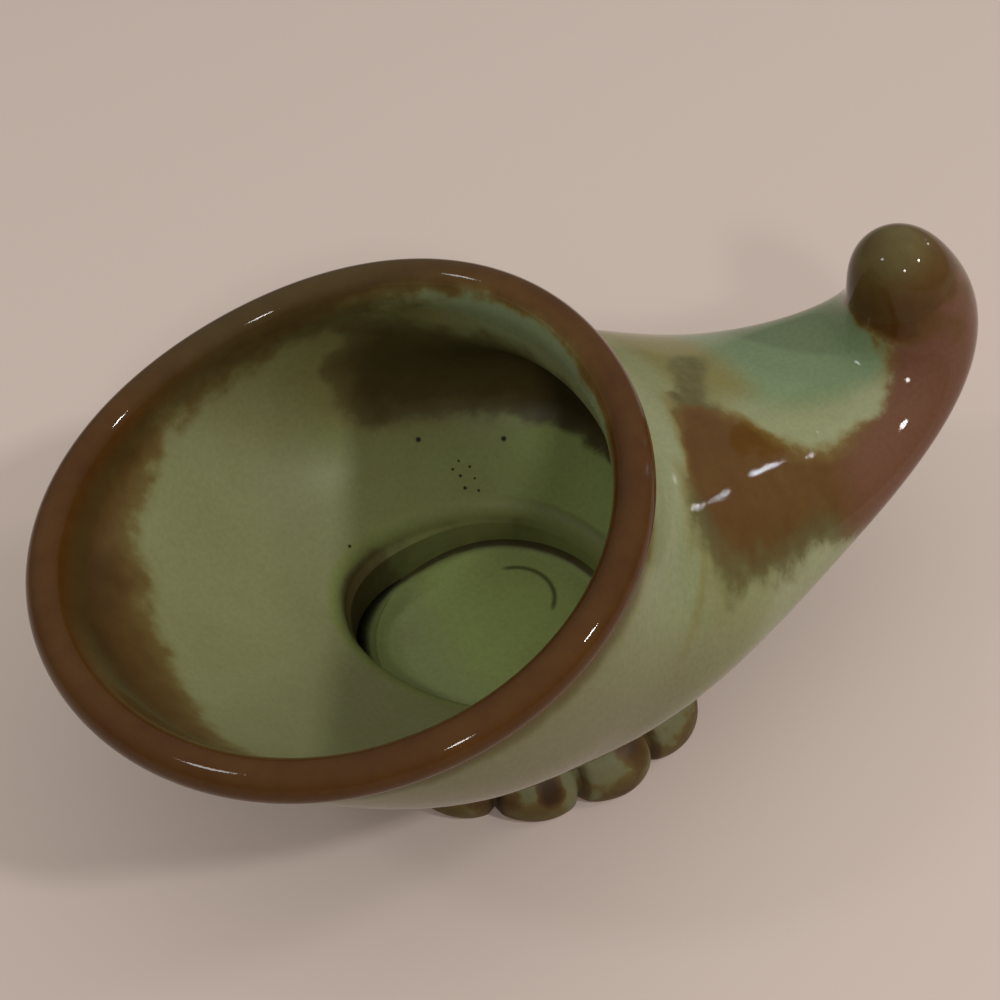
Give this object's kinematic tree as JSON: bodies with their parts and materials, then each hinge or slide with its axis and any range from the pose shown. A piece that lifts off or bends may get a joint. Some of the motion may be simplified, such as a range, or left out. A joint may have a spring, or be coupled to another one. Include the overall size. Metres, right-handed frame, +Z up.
{
  "type": "cornucopia vase",
  "caption": "Glazed horn-shaped vase: a wide, tilted, rolled mouth narrows to a tail that curls up to a blunt tip, on a round scalloped foot with a sunken well.",
  "frame": {"origin": "middle of the flat base under the foot, on the surface that the vase stands on", "axes": "+X towards the tail, -X towards the mouth, +Z up; the vase is symmetric about the XZ plane"},
  "size_m": [0.1783, 0.1036, 0.0715],
  "materials": {
    "green_glaze": "gloss",
    "brown_glaze": "gloss"
  },
  "bodies": {
    "root": {"horn_bowl": "green_glaze", "mouth_rim": "brown_glaze", "tail": "green_glaze", "tail_tip": "brown_glaze", "foot_ring": "green_glaze", "foot_floor": "green_glaze", "foot_lobe_1": "green_glaze", "foot_lobe_2": "green_glaze", "foot_lobe_3": "green_glaze", "foot_lobe_4": "green_glaze", "foot_lobe_5": "green_glaze", "foot_lobe_6": "green_glaze", "foot_lobe_7": "green_glaze", "foot_lobe_8": "green_glaze", "foot_lobe_9": "green_glaze", "foot_lobe_10": "green_glaze", "foot_lobe_11": "green_glaze", "foot_lobe_12": "green_glaze", "foot_lobe_13": "green_glaze", "foot_lobe_14": "green_glaze", "foot_lobe_15": "green_glaze"}
  },
  "joints": []
}
